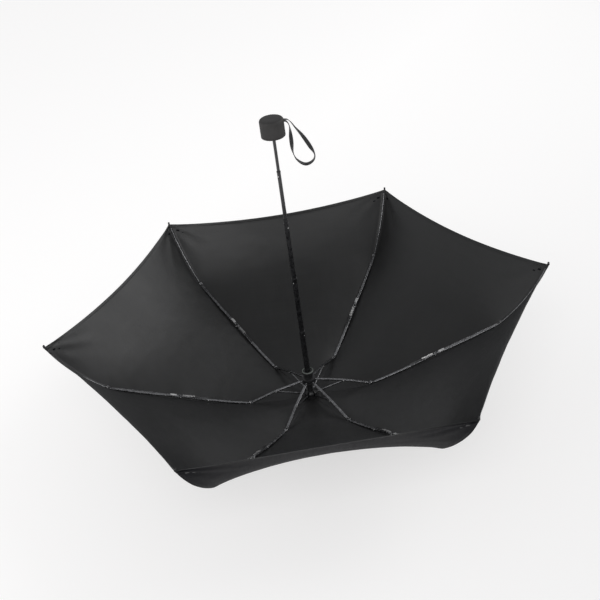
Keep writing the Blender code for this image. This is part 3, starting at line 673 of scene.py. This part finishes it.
def seam_line():
    """The fabric's line along a rib as evenly spaced (radius, height) points, from the hub to the corner."""

    def beside(start, end, bow, offset_in, offset_out, steps=24):
        direction = (end - start).normalized()
        away = Vector((direction.y, -direction.x))  # towards the canopy's outer side
        line = []
        for i in range(steps + 1):
            share = i / steps
            offset = offset_in + (offset_out - offset_in) * share + 4 * bow * share * (1 - share)
            line.append(start + (end - start) * share + away * offset)
        return line

    rough = [Vector((HUB_RADIUS, HUB_HEIGHT)), Vector((COLLAR_RADIUS, HUB_HEIGHT))]
    rough += beside(SECOND, THIRD, SECOND_RIB_BOW, SEAM_OFFSET, SEAM_OFFSET)
    rough += beside(THIRD, END, THIRD_RIB_BOW, SEAM_OFFSET, SEAM_OFFSET)
    rough += beside(END, TIP, END_RIB_BOW, SEAM_OFFSET, TIP_OFFSET)
    line = evenly(np.array([tuple(p) for p in rough]), LINE_STEP)
    reach = int(3 * BEND_SMOOTHING / LINE_STEP)
    weights = np.exp(-0.5 * (np.arange(-reach, reach + 1) * LINE_STEP / BEND_SMOOTHING) ** 2)
    weights /= weights.sum()
    padded = np.vstack([2 * line[0] - line[reach:0:-1], line, 2 * line[-1] - line[-2 : -reach - 2 : -1]])
    smooth = np.column_stack([np.convolve(padded[:, k], weights, "valid") for k in (0, 1)])
    return evenly(smooth[: int(-CORNER_FROM_TIP / LINE_STEP)], LINE_STEP)


def evenly(line, step):
    """A polyline's points again, about one step apart."""
    lengths = np.concatenate([[0], np.cumsum(np.linalg.norm(np.diff(line, axis=0), axis=1))])
    places = np.linspace(0, lengths[-1], int(round(lengths[-1] / step)) + 1)
    return np.column_stack([np.interp(places, lengths, line[:, k]) for k in range(line.shape[1])])


def gore_rows(length):
    """Distances from the hub along a seam: even steps, then a row on each side of the hem's stitching."""
    body = np.linspace(0, length - HEM_WIDTH - 0.001, int(length / ROW_STEP))
    return np.concatenate([body, [length - HEM_WIDTH, length - 0.5 * HEM_WIDTH, length]])


def flat_gore(line):
    """The gore between the first two ribs as straight chords, an array of rows by columns by 3."""
    places = np.arange(len(line)) * LINE_STEP
    rows = gore_rows(places[-1])
    grid = np.zeros((len(rows), COLUMNS + 1, 3))
    across = np.array([math.cos(PITCH_RADIANS), math.sin(PITCH_RADIANS)])
    for j in range(COLUMNS + 1):
        c = j / COLUMNS
        radius, height = np.interp(rows, places, line[:, 0]), np.interp(rows, places, line[:, 1])
        grid[:, j, 0] = radius * ((1 - c) + c * across[0])
        grid[:, j, 1] = radius * c * across[1]
        grid[:, j, 2] = height
    return grid


def grid_faces(rows, columns):
    return [
        (i * columns + j, i * columns + j + 1, (i + 1) * columns + j + 1, (i + 1) * columns + j)
        for i in range(rows - 1)
        for j in range(columns - 1)
    ]


def taut(grid):
    """The gore pulled taut between its seams by a cloth simulation, made symmetric about its middle."""
    rows, columns, _ = grid.shape
    share = np.linspace(0, 1, columns)
    taken_in = (1 - MIDDLE_TAKEN_IN * 4 * share * (1 - share))[None, :, None]
    cut = grid[:1] + (grid - grid[:1]) * taken_in
    obj = new_object("taut_gore", cut.reshape(-1, 3), grid_faces(rows, columns), [])
    pins = [i * columns + j for i in range(rows) for j in (0, columns - 1)] + list(range(columns))
    obj.vertex_groups.new(name="seams").add(pins, 1.0, "REPLACE")
    hem = list(range((rows - 3) * columns, rows * columns))
    obj.vertex_groups.new(name="hem").add(hem, 1.0, "REPLACE")
    cloth = obj.modifiers.new("cloth", "CLOTH")
    for setting, value in CLOTH_SETTINGS.items():
        setattr(cloth.settings, setting, value)
    cloth.settings.effector_weights.gravity = 0
    cloth.point_cache.frame_start, cloth.point_cache.frame_end = 1, SETTLING_FRAMES
    scene = bpy.context.scene
    for step in range(1, SETTLING_FRAMES + 1):
        scene.frame_set(step)
    shown = obj.evaluated_get(bpy.context.evaluated_depsgraph_get())
    settled = np.zeros(rows * columns * 3, np.float32)
    shown.data.vertices.foreach_get("co", settled)
    bpy.data.objects.remove(obj)
    scene.frame_set(1)
    settled = settled.reshape(rows, columns, 3).astype(float)
    mirrored = settled[:, ::-1] @ mirror_matrix(PITCH / 2)
    return (settled + mirrored) / 2


def mirror_matrix(azimuth):
    """The mirror in the vertical plane at an azimuth. It is its own transpose."""
    turn = math.radians(2 * azimuth)
    return np.array([[math.cos(turn), math.sin(turn), 0], [math.sin(turn), -math.cos(turn), 0], [0, 0, 1]])


def finer(grid, factor, axis):
    """The grid with more rows or columns, on smooth curves through its points."""
    points = np.moveaxis(grid, axis, 0)
    first, last = 2 * points[:1] - points[1:2], 2 * points[-1:] - points[-2:-1]
    ends = np.concatenate([first, points, last])
    made = [between(ends[i : i + 4], step / factor) for i in range(len(points) - 1) for step in range(factor)]
    return np.moveaxis(np.array(made + [points[-1]]), 0, axis)


def drawn_in(grid):
    """The gore with its middle drawn further towards the shaft, most at the rows by the end rib's joint."""
    rows, columns, _ = grid.shape
    share = np.linspace(0, 1, columns)[None, :]
    across = (4 * share * (1 - share)) ** 0.7
    place = np.linspace(0, 1, rows)[:, None]
    strength = DRAWN_IN * across * np.sin(np.pi * place**1.6 * 0.8)
    slope = np.gradient(grid[:, columns // 2], axis=0)
    slope /= np.linalg.norm(slope, axis=1)[:, None]
    out = np.array(radial(PITCH / 2))
    rise, run = slope[:, 2], slope @ out
    inward = -rise[:, None] * out[None, :] + run[:, None] * np.array([0, 0, 1.0])[None, :]
    return grid + strength[:, :, None] * inward[:, None, :]


def whole_canopy(gore):
    """The six gores as one sheet of cloth with shared seams: vertices, faces and the vertices in each row."""
    rows, columns, _ = gore.shape
    per_gore = columns - 1
    verts = np.zeros((rows, RIBS * per_gore, 3))
    for number in range(RIBS):
        turn = math.radians(number * PITCH)
        cos, sin = math.cos(turn), math.sin(turn)
        spin = np.array([[cos, sin, 0], [-sin, cos, 0], [0, 0, 1]])
        verts[:, number * per_gore : (number + 1) * per_gore] = gore[:, :-1] @ spin
    total = RIBS * per_gore
    faces = [
        (i * total + j, i * total + (j + 1) % total, (i + 1) * total + (j + 1) % total, (i + 1) * total + j)
        for i in range(rows - 1)
        for j in range(total)
    ]
    return verts.reshape(-1, 3), faces, total


def wrinkles(points):
    """Each point's lift: pulls that fan out from the tips, soft dents along the seams and unevenness."""
    lifts = []
    for point in points:
        azimuth = math.degrees(math.atan2(point.y, point.x)) % 360
        rib = round(azimuth / PITCH) % RIBS
        away = point - in_rib_plane(SEAM[-1], rib * PITCH)
        distance = away.length
        lift = 0.0
        if distance < PULL_REACH:
            sideways = Vector((-radial(rib * PITCH).y, radial(rib * PITCH).x, 0)).dot(away)
            angle = math.atan2(sideways, math.sqrt(max(distance**2 - sideways**2, 1e-9)))
            fade = (1 - distance / PULL_REACH) ** 2 * min(1, distance / PULL_START)
            wander = 1.7 * noise.noise(Vector((angle * 3, rib, 0)))
            lift += PULL_HEIGHT * fade * math.sin(angle * PULLS + wander)
        seam = abs(azimuth - round(azimuth / PITCH) * PITCH) / (PITCH / 2)
        along = math.hypot(point.x, point.y)
        near_seam = math.exp(-((seam * along * 0.55 / SEAM_DENT_WIDTH) ** 2))
        dents = noise.noise(Vector((along * 60, rib * 7.3, 0.5))) * min(1, seam * along / 0.004)
        lift += SEAM_DENTS * near_seam * dents
        for height, waves in UNEVENNESS:
            lift += height * noise.noise(point * waves)
        lifts.append(lift)
    return lifts


COLLAR, WEDGES, SECOND_ZONE, THIRD_ZONE, END_ZONE = 0, (1, 2, 3, 4, 5), 6, 7, 8
WEDGE_EDGES = (-18, -6, 6, 18)  # degrees from the rib


def planes_across(rib):
    """Where the zones part on a rib, as points and normals: at the collar, and square to the rib's joints."""
    azimuth = rib * PITCH
    planes = [(radial(azimuth) * COLLAR_RADIUS, radial(azimuth))]
    for start, joint, end in ((CROWN_PIVOT, SECOND, THIRD), (SECOND, THIRD, END), (THIRD, END, TIP)):
        normal = (joint - start).normalized() + (end - joint).normalized()
        planes.append((in_rib_plane(joint, azimuth), in_rib_plane(normal, azimuth).normalized()))
    return planes


def planes_passed(place, planes):
    """How many of the planes lie between a place and the shaft."""
    return sum((place - point).dot(normal) > 0 for point, normal in planes)


def cut_into_zones(shape, zone_of, rib_of):
    """Cut the cloth across each rib's joints and into wedges on the top ribs, and mark its faces' zones."""

    def cut(faces, point, normal):
        around = set(faces) | {v for f in faces for v in f.verts} | {e for f in faces for e in f.edges}
        bmesh.ops.bisect_plane(shape, geom=list(around), dist=2e-5, plane_co=point, plane_no=normal)

    def faces_of(rib, condition):
        return [f for f in shape.faces if f[rib_of] == rib and condition(f.calc_center_median())]

    planes = [planes_across(rib) for rib in range(RIBS)]
    for rib in range(RIBS):
        for point, normal in planes[rib]:
            cut(faces_of(rib, lambda place: abs((place - point).dot(normal)) < 0.03), point, normal)
        for edge in WEDGE_EDGES:
            side = radial(rib * PITCH + edge + 90)
            cut(faces_of(rib, lambda place: planes_passed(place, planes[rib]) == 1), Vector(), side)
    for face in shape.faces:
        middle, rib = face.calc_center_median(), face[rib_of]
        passed = planes_passed(middle, planes[rib])
        if passed == 1:
            turn = (math.degrees(math.atan2(middle.y, middle.x)) - rib * PITCH + 180) % 360 - 180
            face[zone_of] = WEDGES[sum(turn > edge for edge in WEDGE_EDGES)]
        else:
            face[zone_of] = (COLLAR, None, SECOND_ZONE, THIRD_ZONE, END_ZONE)[passed]


def canopy_cloth(gore):
    """The whole canopy, wrinkled and cut into zones, as a mesh and its layers. Its normals face the shaft."""
    verts, faces, total = whole_canopy(gore)
    columns = gore.shape[1]
    seam_rows = np.concatenate([[0], np.cumsum(np.linalg.norm(np.diff(gore[:, 0], axis=0), axis=1))])
    shape = bmesh.new()
    rib_of, zone_of = shape.faces.layers.int.new("rib"), shape.faces.layers.int.new("zone")
    edges = shape.verts.layers.float_vector.new("edges")
    grain = shape.loops.layers.float_vector.new("grain")
    made = [shape.verts.new(v) for v in verts]
    shape.verts.index_update()
    for index, vert in enumerate(made):
        row = index // total
        azimuth = math.degrees(math.atan2(vert.co.y, vert.co.x))
        turn = math.radians((azimuth + PITCH / 2) % PITCH - PITCH / 2)
        seam = abs(math.sin(turn)) * math.hypot(vert.co.x, vert.co.y)
        vert[edges] = (seam_rows[-1] - seam_rows[row], seam, 0)
    for face in faces:
        new = shape.faces.new([made[k] for k in face])
        column = face[0] % total
        new[rib_of] = round((column + 0.5) / (columns - 1)) % RIBS
        middle = (column // (columns - 1) + 0.5) * PITCH
        side = radial(middle + 90)
        for loop in new.loops:
            loop[grain] = (loop.vert.co.dot(side), seam_rows[loop.vert.index // total], 0)
    cut_into_zones(shape, zone_of, rib_of)
    shape.normal_update()
    if next(iter(shape.faces)).normal.z < 0:
        bmesh.ops.reverse_faces(shape, faces=shape.faces[:])
        shape.normal_update()
    lifts = wrinkles([v.co.copy() for v in shape.verts])
    for vert, lift in zip(shape.verts, lifts):
        vert.co += vert.normal * lift
    shape.normal_update()
    shape.verts.index_update()
    return shape, rib_of, zone_of, edges, grain


def cloth_piece(name, faces, layers):
    """A part of the canopy as a thin closed sheet, with shading that matches its neighbours' at the cuts."""
    edges, grain = layers
    used = {}
    for face in faces:
        for vert in face.verts:
            used.setdefault(vert.index, vert)
    order = {index: k for k, index in enumerate(used)}
    count = len(order)
    inside, outside = [], []
    for vert in used.values():
        half = (HEM_THICKNESS if vert[edges][0] < HEM_WIDTH + 1e-5 else CLOTH_THICKNESS) / 2
        inside.append(vert.co + vert.normal * half)
        outside.append(vert.co - vert.normal * half)
    polygons, normals, grains, slots, sides = [], [], [], [], {}
    for face in faces:
        loops = list(face.loops)
        ring = [order[corner.vert.index] for corner in loops]
        polygons += [ring, [count + k for k in reversed(ring)]]
        normals += [corner.vert.normal.copy() for corner in loops]
        normals += [-corner.vert.normal for corner in reversed(loops)]
        grains += [tuple(corner[grain]) for corner in loops + loops[::-1]]
        slots += [0, 1]
        for corner in loops:
            edge = (order[corner.vert.index], order[corner.link_loop_next.vert.index])
            sides[edge] = tuple(corner[grain])
    for (a, b), place in sides.items():
        if (b, a) not in sides:
            polygons.append([b, a, a + count, b + count])
            normals += [None] * 4
            grains += [place] * 4
            slots.append(0)
    obj = new_object(name, inside + outside, polygons, [INSIDE_CLOTH, OUTSIDE_CLOTH])
    mesh = obj.data
    mesh.polygons.foreach_set("material_index", slots)
    distances = [tuple(v[edges]) for v in used.values()] * 2
    for layer, domain, values in (("grain", "CORNER", grains), ("edges", "POINT", distances)):
        attribute = mesh.attributes.new(layer, "FLOAT_VECTOR", domain)
        attribute.data.foreach_set("vector", np.array(values).ravel())
    for polygon in mesh.polygons:
        for corner in polygon.loop_indices:
            if normals[corner] is None:
                normals[corner] = polygon.normal.copy()
    mesh.normals_split_custom_set([tuple(n) for n in normals])
    return obj


def gathered(obj):
    """Gives a piece of cloth its own copy of its mesh."""
    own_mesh(obj)


MEMBERS = {zone: (CROWN_PIVOT, ELBOW) for zone in WEDGES}
MEMBERS.update({SECOND_ZONE: (SECOND, THIRD), THIRD_ZONE: (THIRD, END), END_ZONE: (END, TIP)})
OUTER_ZONES = {SECOND_ZONE: "second", THIRD_ZONE: "third", END_ZONE: "end"}


def build_canopy(gore):
    """The collar on the crown, five wedges on each top rib, and a left and a right half on each outer rib."""
    shape, rib_of, zone_of, edges, grain = canopy_cloth(gore)
    groups = {}
    for face in shape.faces:
        zone, rib = face[zone_of], face[rib_of]
        on_left = face.calc_center_median().dot(radial(rib * PITCH + 90)) > 0
        part = OUTER_ZONES[zone] + ("_left" if on_left else "_right") if zone in OUTER_ZONES else "collar"
        part = "wedge_" + "abcde"[WEDGES.index(zone)] if zone in WEDGES else part
        groups.setdefault((part, zone, 0 if zone == COLLAR else rib), []).append(face)
    gores = [f"gore_{number + 1}" for number in range(RIBS)]
    for (part, zone, rib), faces in sorted(groups.items()):
        obj = cloth_piece(f"canopy_{part}" + ("" if zone == COLLAR else f"_{rib + 1}"), faces, (edges, grain))
        area = sum(face.calc_area() for face in faces)
        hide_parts(*gores)
        if zone == COLLAR:
            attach(obj, "root")
        else:
            member = OUTER_ZONES.get(zone, "top")
            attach(obj, f"{member}_rib_{rib + 1}")
            gathered(obj)
    shape.free()


SEAM = seam_line()
gore = flat_gore(SEAM)
gore = taut(gore)
build_canopy(drawn_in(finer(finer(gore, FINER, 1), FINER, 0)))


# ------------------------------ frame details


def dome(radius, height, steps=5):
    """A rivet's domed head standing on its base, along +Z."""
    turns = [math.radians(90 * i / steps) for i in range(steps)]
    outline = [(0, 0)] + [(radius * math.cos(a), height * math.sin(a)) for a in turns] + [(0, height)]
    return turned(outline, 16)


def rivet_heads(azimuth, places):
    """Bright heads on both sides of a rib at (radius, height) places in its plane."""
    shapes = []
    for place in places:
        for side in (-1, 1):
            at = in_rib_plane(place, azimuth, side * RIVET_SIDE)
            facing = (radial(azimuth + 90) * side).to_track_quat("Z", "Y").to_matrix().to_4x4()
            shapes.append(moved(dome(RIVET_RADIUS, RIVET_RISE), Matrix.Translation(at) @ facing))
    return join_shapes(shapes)


def above(start, end, share, lift):
    """A (radius, height) point along a rib member, lifted off its pivots' line towards the handle."""
    along = (end - start).normalized()
    return start + (end - start) * share + Vector((-along.y, along.x)) * lift


def along_rib(start, end, shares, lift, slope):
    """Places along a rib member, at a lift that changes evenly from its start."""
    return [above(start, end, share, lift + slope * share) for share in shares]


def build_linkage():
    """Rivet heads, and the bars, clips and wires that drive the outer ribs."""
    bow = 4 * SECOND_RIB_BOW * LINK_SHARE * (1 - LINK_SHARE)
    link = above(SECOND, THIRD, LINK_SHARE, -bow)
    riveted = (("stretcher", (ELBOW, SECOND)), ("second_rib", (link,)), ("third_rib", (THIRD, END)))
    for rib in range(RIBS):
        azimuth, number = rib * PITCH, rib + 1
        for body, places in riveted:
            heads = rivet_heads(azimuth, places)
            finished(f"rivets_{body}_{number}", heads, PLATE, f"{body}_{number}", sharp=60)

        second, third = f"second_rib_{number}", f"third_rib_{number}"
        bar = strip(along_rib(SECOND, THIRD, *LINKAGE_BAR), azimuth, *BAR_SECTION)
        finished(f"linkage_bar_{number}", bar, LACQUER, second, sharp=60)

        wires = []
        for side in (-WIRE_SIDE, WIRE_SIDE):
            places = along_rib(SECOND, THIRD, *LINKAGE_WIRES)
            wires.append(tube([in_rib_plane(place, azimuth, side) for place in places], WIRE_RADIUS))
        finished(f"linkage_wires_{number}", join_shapes(wires), PLATE, second)

        clip = strip(along_rib(THIRD, END, *SPRING_CLIP), azimuth, *CLIP_SECTION)
        finished(f"spring_clip_{number}", clip, PLATE, third, sharp=60)

        places = along_rib(THIRD, END, *OUTER_WIRE)
        wire = tube([in_rib_plane(place, azimuth) for place in places], WIRE_RADIUS)
        finished(f"outer_wire_{number}", wire, RIB_STEEL, third)


def build_tips():
    """Moulded nubs on the rib ends, and the thread that ties each corner of the fabric to its nub."""
    share = 1 - TIP_LENGTH / (TIP - END).length
    wire = END_RIB_OFFSET * (1 - share) + 4 * END_RIB_BOW * share * (1 - share)
    mouth = above(END, TIP, share, -wire)
    outline = [(0, 0)] + arc((TIP_RADIUS - TIP_EDGE, TIP_EDGE), TIP_EDGE, -90, 0, 3)
    outline += [(TIP_RADIUS * share, rise) for share, rise in TIP_WAIST]
    outline += arc((TIP_RADIUS * 0.35, TIP_LENGTH - TIP_NOSE), TIP_NOSE, 0, 90, 6) + [(0, TIP_LENGTH)]
    nub = turned(outline, 28)
    for number in range(RIBS):
        azimuth = number * PITCH
        start, end = in_rib_plane(mouth, azimuth), in_rib_plane(TIP, azimuth)
        along = (end - start).normalized()
        side = radial(azimuth + 90)
        place = Matrix((side, along.cross(side), along)).transposed().to_4x4()
        place.translation = start
        body, replaced = f"end_rib_{number + 1}", [f"rib_tip_{number + 1}"]
        finished(f"tip_nub_{number + 1}", moved(nub, place), PLASTIC, body, replaced)

        loops = []
        for height, shift in THREAD_LOOPS:
            points = []
            for i in range(THREAD_SIDES):
                turn = math.tau * i / THREAD_SIDES
                outward = 0.0016 * math.cos(turn)
                down = 0.0019 * math.sin(turn) + shift
                points.append(place @ Vector((outward, -down, height + 0.0002 * math.sin(turn))))
            loops.append(tube(points, THREAD_RADIUS, 6, closed=True))
        finished(f"tie_thread_{number + 1}", join_shapes(loops), THREAD, body)


def build_cap():
    """The ferrule cap that the umbrella stands on."""
    low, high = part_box("ferrule_cap")
    radius = (high.x - low.x) / 2
    outline = [(0, 0)] + [tuple(p) for p in finer(np.array(CAP_PROFILE), 4, 0)]
    outline += arc((radius - CAP_EDGE, high.z - CAP_EDGE), CAP_EDGE, -80, 90, 8)
    outline += [(CAP_BORE, high.z), (CAP_BORE, CAP_FLOOR), (0, CAP_FLOOR)]
    finished("ferrule", turned(outline, 72), PLASTIC, "root", ["ferrule_cap"], sharp=50)


def build_rings():
    """The runner's moulded lip, and the rolled rim on the end of each shaft tube but the last."""
    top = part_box("runner")[1].z
    lip = turned(arc((0.0094, top + 0.0006), 0.0010, 0, 330, 11), 64)
    finished("runner_lip", lip, RING_PLASTIC, "runner", sharp=60)
    bodies = ("root", "shaft_tube_2", "shaft_tube_3", "shaft_tube_4")
    for number, (end, body) in enumerate(zip(TUBE_ENDS, bodies)):
        outer = TUBE_RADIUS - number * TUBE_STEP
        outline = [(outer + out, end - down) for out, down in TUBE_RIM]
        outline += arc((outer, end - 0.0002), RIM_PROUD, 0, 180, 5)
        finished(f"tube_rim_{number + 1}", turned(outline, 48), LACQUER, body, sharp=60)


build_linkage()
build_tips()
build_cap()
build_rings()


# ------------------------------ staging


def build_stage():
    """A pale floor with a painted glow that softens its shadows and is brighter at one side, and a studio
    whose light comes mostly from low down on all sides.
    """
    corners = [(x * FLOOR_REACH, y * FLOOR_REACH, 0) for x, y in ((-1, -1), (1, -1), (1, 1), (-1, 1))]
    material, shader, node = new_material("pale_floor", (0.45, 0.45, 0.45), 0.9)
    # Painted light: the floor's emission grows towards one side, standing in for light that falls off across
    # it.
    place = node("TexCoord").outputs["Object"]
    towards = node("VectorMath", {0: place, 1: (0.8, -0.6, 0)}, operation="DOT_PRODUCT").outputs["Value"]
    glow = {"Emission Color": (1.0, 0.99, 0.985, 1), "Emission Strength": ranged(node, towards, *FLOOR_PAINTED_LIGHT)}
    feed(shader, {"Specular IOR Level": 0.1, **glow})
    floor = new_object("floor", corners, [(0, 1, 2, 3)], [material])

    world = bpy.data.worlds.new("studio")
    world.use_nodes = True
    node = node_maker(world.node_tree)
    height = node("SeparateXYZ", {0: node("TexCoord").outputs["Generated"]}).outputs["Z"]
    sky = {"Color": (0.97, 0.98, 1.0, 1), "Strength": ranged(node, height, *SKY_GLOW)}
    feed(world.node_tree.nodes["Background"], sky)
    bpy.context.scene.world = world

    for name, place, power in LAMPS:
        lamp = bpy.data.lights.new(name, "AREA")
        lamp.shape, lamp.size, lamp.energy = "SQUARE", LAMP_SIZE, power
        obj = bpy.data.objects.new(name, lamp)
        obj.location = place
        obj.rotation_euler = (Vector(LAMP_AIM) - Vector(place)).to_track_quat("-Z", "Y").to_euler()
        bpy.context.collection.objects.link(obj)


build_stage()
